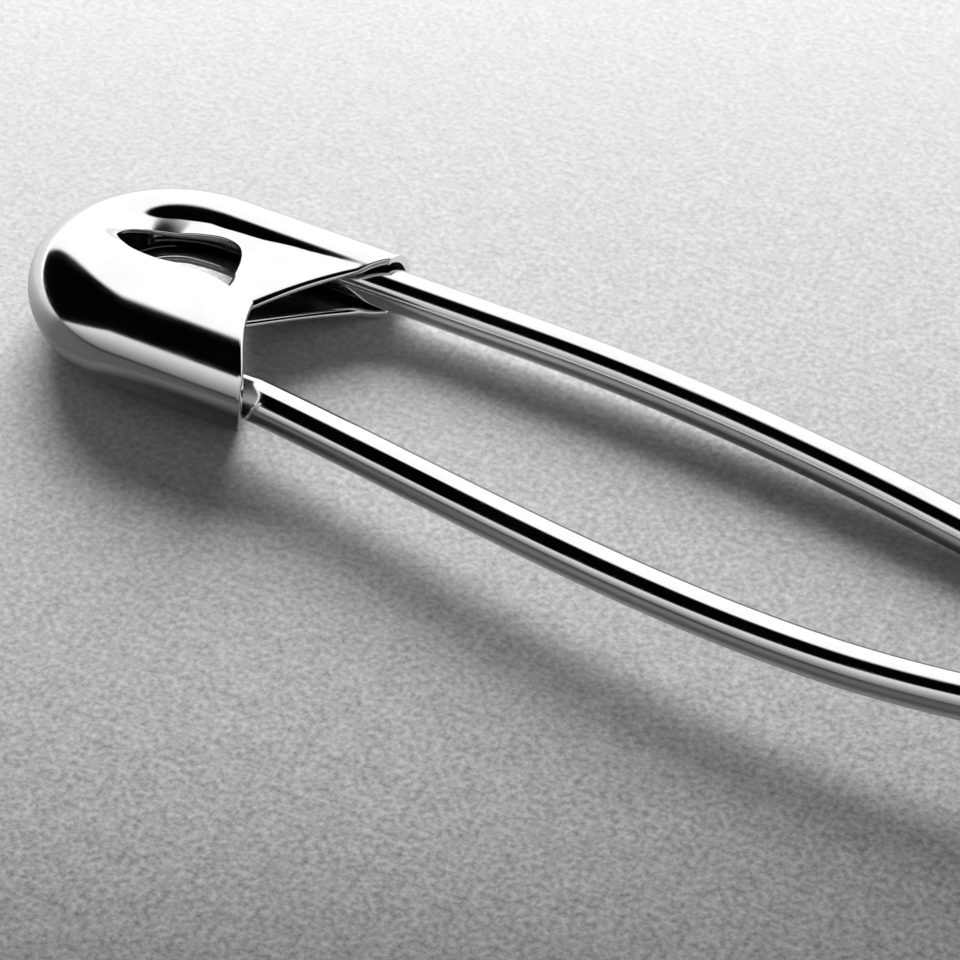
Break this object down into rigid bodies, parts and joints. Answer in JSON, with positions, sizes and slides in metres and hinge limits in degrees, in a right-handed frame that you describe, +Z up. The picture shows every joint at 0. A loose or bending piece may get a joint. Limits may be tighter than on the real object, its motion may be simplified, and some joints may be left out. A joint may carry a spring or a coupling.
{
  "type": "safety pin",
  "caption": "Closed safety pin: coiled spring wire with a bowed needle arm, and a folded sheet-metal cap with a teardrop hole that shields the point.",
  "frame": {"origin": "on the table, under the middle of the closed pin", "axes": "+X along the pin from the cap to the coil, +Y across it from the needle to the spine, +Z up"},
  "size_m": [0.075, 0.0192, 0.0065],
  "materials": {
    "cap_plate": "bright nickel plate on pressed steel sheet",
    "wire_plate": "bright nickel plate on drawn steel wire"
  },
  "bodies": {
    "frame": {"cap": "cap_plate", "spine_arm": "wire_plate", "coil_spring": "wire_plate"},
    "needle_root": {"needle_root": "wire_plate"},
    "needle_neck": {"needle_neck": "wire_plate"},
    "needle_arm": {"needle_arm": "wire_plate"}
  },
  "joints": [
    {"name": "needle_roll", "type": "hinge", "parent": "frame", "child": "needle_root", "pos_m": [0.02755, -0.00665, 0.00487], "axis": [0.9841, 0.1735, 0.0385], "range_deg": [0, 166.5]},
    {"name": "needle_swing", "type": "hinge", "parent": "needle_root", "child": "needle_neck", "pos_m": [0.02755, -0.00665, 0.00487], "axis": [0.0196, 0.1096, -0.9938], "range_deg": [0, 45]},
    {"name": "needle_unroll", "type": "hinge", "parent": "needle_neck", "child": "needle_arm", "pos_m": [0.02755, -0.00665, 0.00487], "axis": [0.9841, 0.1735, 0.0385], "range_deg": [-166.5, 0]}
  ],
  "couplings": [
    {"joint": "needle_roll", "follows": "needle_swing", "ratio": 3.7},
    {"joint": "needle_unroll", "follows": "needle_swing", "ratio": -3.7}
  ]
}
